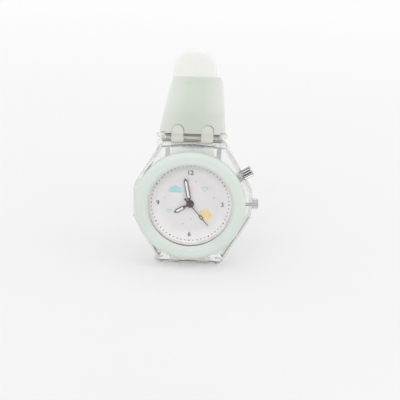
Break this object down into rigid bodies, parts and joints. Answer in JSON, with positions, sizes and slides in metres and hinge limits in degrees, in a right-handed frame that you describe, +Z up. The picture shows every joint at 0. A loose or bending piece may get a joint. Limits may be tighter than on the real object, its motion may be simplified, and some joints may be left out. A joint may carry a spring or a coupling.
{
  "type": "toy watch",
  "caption": "Child's toy wrist watch with a clear faceted case, pale bezel, analogue dial, crown, light pusher and a soft tapered strap with a buckle.",
  "frame": {"origin": "middle of the flat outer face of the lower strap that the watch stands on, on the strap's plane of symmetry", "axes": "+X to 3 o'clock (the crown), -Y the way the dial faces, +Z up to 12 o'clock"},
  "size_m": [0.0401, 0.0547, 0.0625],
  "materials": {
    "clear_plastic": "clear, polished",
    "bezel_mint": "satin gloss",
    "crystal_clear": "clear, polished",
    "flange_grey": "satin",
    "dial_white": "matt print",
    "steel_back": "brushed",
    "gasket_black": "matt",
    "pin_steel": "drawn",
    "strap_silicone": "satin, translucent",
    "chrome_trim": "polished",
    "hand_dark": "satin",
    "holder_white": "satin",
    "plate_dark": "matt",
    "bridge_grey": "satin",
    "core_iron": "plain",
    "coil_copper": "enamelled wire",
    "magnet_dark": "plain",
    "wheel_plastic": "moulded",
    "pinion_brass": "turned",
    "board_green": "solder mask",
    "chip_black": "matt",
    "cell_steel": "plain",
    "contact_gilt": "stamped",
    "lamp_clear": "clear lens"
  },
  "bodies": {
    "case": {"case_body": "clear_plastic", "bezel_ring": "bezel_mint", "crystal": "crystal_clear", "dial_flange": "flange_grey", "dial_plate": "dial_white", "back_cover": "steel_back", "back_gasket": "gasket_black", "upper_case_pin": "pin_steel", "lower_case_pin": "pin_steel", "pusher_spring": "pin_steel", "movement_holder": "holder_white", "main_plate": "plate_dark", "train_bridge": "bridge_grey", "coil_core": "core_iron", "coil_winding": "coil_copper", "stator_plate": "core_iron", "circuit_board": "board_green", "quartz_can": "cell_steel", "timer_chip": "chip_black", "time_cell": "cell_steel", "cell_strap": "contact_gilt", "light_board": "board_green", "light_leds": "lamp_clear", "light_cells": "cell_steel", "light_clips": "contact_gilt", "light_contact": "contact_gilt"},
    "upper_strap": {"strap_upper": "strap_silicone", "upper_links": "clear_plastic", "upper_strap_pin": "pin_steel"},
    "lower_strap": {"strap_lower": "strap_silicone", "lower_links": "clear_plastic", "lower_strap_pin": "pin_steel"},
    "buckle": {"buckle_frame": "chrome_trim", "buckle_bar": "pin_steel"},
    "prong": {"buckle_prong": "chrome_trim"},
    "keeper": {"strap_keeper": "strap_silicone"},
    "stem_slide": {"setting_lever": "pin_steel"},
    "crown": {"crown_head": "chrome_trim", "crown_stem": "pin_steel", "setting_pinion": "pinion_brass"},
    "pusher": {"light_pusher": "chrome_trim"},
    "seconds": {"second_wheel": "wheel_plastic", "second_hand": "hand_dark"},
    "third": {"third_wheel": "wheel_plastic"},
    "step": {"step_wheel": "wheel_plastic"},
    "step_rotor": {"rotor": "magnet_dark"},
    "centre": {"centre_wheel": "wheel_plastic"},
    "minutes": {"cannon_pinion": "pinion_brass", "minute_hand": "hand_dark"},
    "minute_work": {"minute_wheel": "wheel_plastic"},
    "hours": {"hour_wheel": "wheel_plastic", "hour_hand": "hand_dark"}
  },
  "joints": [
    {"name": "second_turn", "type": "hinge", "parent": "case", "child": "seconds", "pos_m": [0, -0.0152, 0.0213], "axis": [0, 1, 0], "continuous": true},
    {"name": "third_turn", "type": "hinge", "parent": "case", "child": "third", "pos_m": [-0.00307, -0.0152, 0.02018], "axis": [0, 1, 0], "continuous": true},
    {"name": "step_turn", "type": "hinge", "parent": "case", "child": "step", "pos_m": [0.0011, -0.0152, 0.02433], "axis": [0, 1, 0], "continuous": true},
    {"name": "rotor_turn", "type": "hinge", "parent": "case", "child": "step_rotor", "pos_m": [0.00192, -0.0152, 0.02658], "axis": [0, 1, 0], "continuous": true},
    {"name": "centre_turn", "type": "hinge", "parent": "case", "child": "centre", "pos_m": [0, -0.0152, 0.0213], "axis": [0, 1, 0], "continuous": true},
    {"name": "minute_turn", "type": "hinge", "parent": "case", "child": "minutes", "pos_m": [0, -0.0152, 0.0213], "axis": [0, 1, 0], "continuous": true},
    {"name": "minute_work_turn", "type": "hinge", "parent": "case", "child": "minute_work", "pos_m": [0.00271, -0.0152, 0.02228], "axis": [0, 1, 0], "continuous": true},
    {"name": "hour_turn", "type": "hinge", "parent": "case", "child": "hours", "pos_m": [0, -0.0152, 0.0213], "axis": [0, 1, 0], "continuous": true},
    {"name": "crown_pull", "type": "slide", "parent": "case", "child": "stem_slide", "axis": [1, 0, 0], "range_m": [0, 0.001]},
    {"name": "crown_turn", "type": "hinge", "parent": "stem_slide", "child": "crown", "pos_m": [0, -0.0152, 0.0213], "axis": [1, 0, 0], "continuous": true},
    {"name": "pusher_press", "type": "slide", "parent": "case", "child": "pusher", "axis": [-0.866, 0, -0.5], "range_m": [0, 0.0008], "stiffness_N_per_m": 500},
    {"name": "upper_strap_swing", "type": "hinge", "parent": "case", "child": "upper_strap", "pos_m": [0, -0.0154, 0.0415], "axis": [1, 0, 0], "range_deg": [-25, 30]},
    {"name": "lower_strap_swing", "type": "hinge", "parent": "case", "child": "lower_strap", "pos_m": [0, -0.0154, 0.0011], "axis": [-1, 0, 0], "range_deg": [0, 100]},
    {"name": "buckle_swing", "type": "hinge", "parent": "upper_strap", "child": "buckle", "pos_m": [0, 0.01621, 0.03464], "axis": [1, 0, 0], "range_deg": [-50, 15]},
    {"name": "prong_swing", "type": "hinge", "parent": "buckle", "child": "prong", "pos_m": [0, 0.01621, 0.03464], "axis": [1, 0, 0], "range_deg": [0, 30]},
    {"name": "keeper_slide", "type": "slide", "parent": "upper_strap", "child": "keeper", "axis": [0, 0.2588, -0.9659], "range_m": [-0.0015, 0.0015]}
  ],
  "couplings": [
    {"joint": "third_turn", "follows": "second_turn", "ratio": -0.13333},
    {"joint": "step_turn", "follows": "second_turn", "ratio": -6},
    {"joint": "rotor_turn", "follows": "second_turn", "ratio": 30},
    {"joint": "centre_turn", "follows": "second_turn", "ratio": 0.016667},
    {"joint": "minute_work_turn", "follows": "minute_turn", "ratio": -0.33333},
    {"joint": "hour_turn", "follows": "minute_turn", "ratio": 0.083333}
  ]
}
